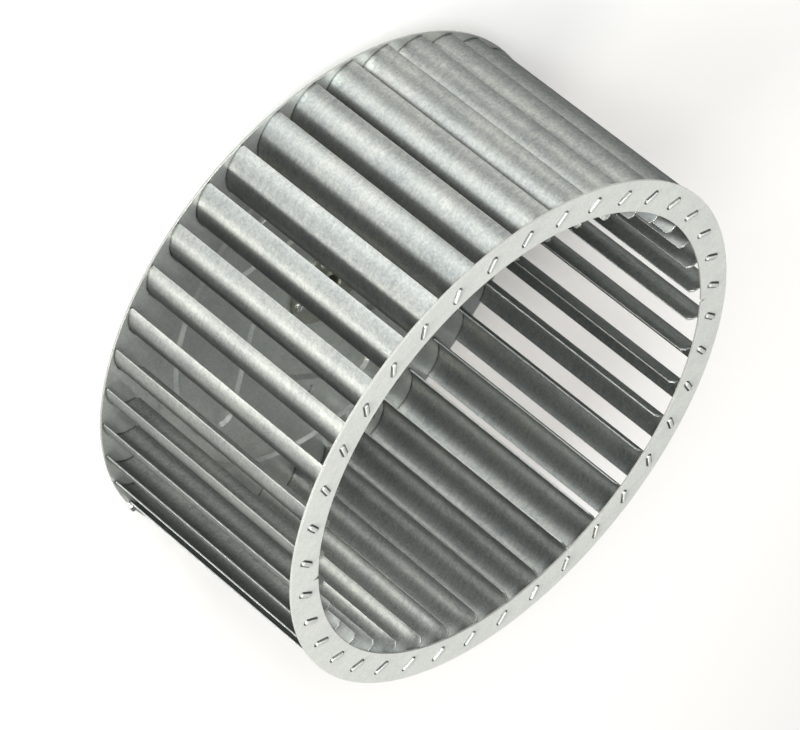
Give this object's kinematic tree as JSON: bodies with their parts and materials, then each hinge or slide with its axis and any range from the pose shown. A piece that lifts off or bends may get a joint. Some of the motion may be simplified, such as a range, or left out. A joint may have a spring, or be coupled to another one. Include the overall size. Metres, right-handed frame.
{
  "type": "centrifugal blower wheel",
  "caption": "Drum-shaped forward-curved blower wheel: tabbed sheet-metal blades between a ribbed back plate and an inlet ring, on a bored hub with a set screw.",
  "frame": {"origin": "on the wheel's axis, in the plane of the hub's free end face behind the back plate", "axes": "+Z along the axis, from the hub towards the inlet; -Y is the side that the picture shows"},
  "size_m": [0.2411, 0.24, 0.1332],
  "materials": {
    "galvanised_blade": "satin",
    "galvanised_sheet": "matt",
    "passivated_steel": "satin",
    "plated_rivet": "satin",
    "black_screw": "oiled",
    "spring_clip": "bright"
  },
  "bodies": {
    "root": {"blade_01": "galvanised_blade", "blade_02": "galvanised_blade", "blade_03": "galvanised_blade", "blade_04": "galvanised_blade", "blade_05": "galvanised_blade", "blade_06": "galvanised_blade", "blade_07": "galvanised_blade", "blade_08": "galvanised_blade", "blade_09": "galvanised_blade", "blade_10": "galvanised_blade", "blade_11": "galvanised_blade", "blade_12": "galvanised_blade", "blade_13": "galvanised_blade", "blade_14": "galvanised_blade", "blade_15": "galvanised_blade", "blade_16": "galvanised_blade", "blade_17": "galvanised_blade", "blade_18": "galvanised_blade", "blade_19": "galvanised_blade", "blade_20": "galvanised_blade", "blade_21": "galvanised_blade", "blade_22": "galvanised_blade", "blade_23": "galvanised_blade", "blade_24": "galvanised_blade", "blade_25": "galvanised_blade", "blade_26": "galvanised_blade", "blade_27": "galvanised_blade", "blade_28": "galvanised_blade", "blade_29": "galvanised_blade", "blade_30": "galvanised_blade", "blade_31": "galvanised_blade", "blade_32": "galvanised_blade", "blade_33": "galvanised_blade", "blade_34": "galvanised_blade", "blade_35": "galvanised_blade", "blade_36": "galvanised_blade", "blade_37": "galvanised_blade", "blade_38": "galvanised_blade", "inlet_ring": "galvanised_sheet", "back_plate": "galvanised_sheet", "hub": "passivated_steel", "hub_washer": "passivated_steel", "hub_rivets": "plated_rivet", "set_screw": "black_screw", "balance_clip": "spring_clip"}
  },
  "joints": []
}
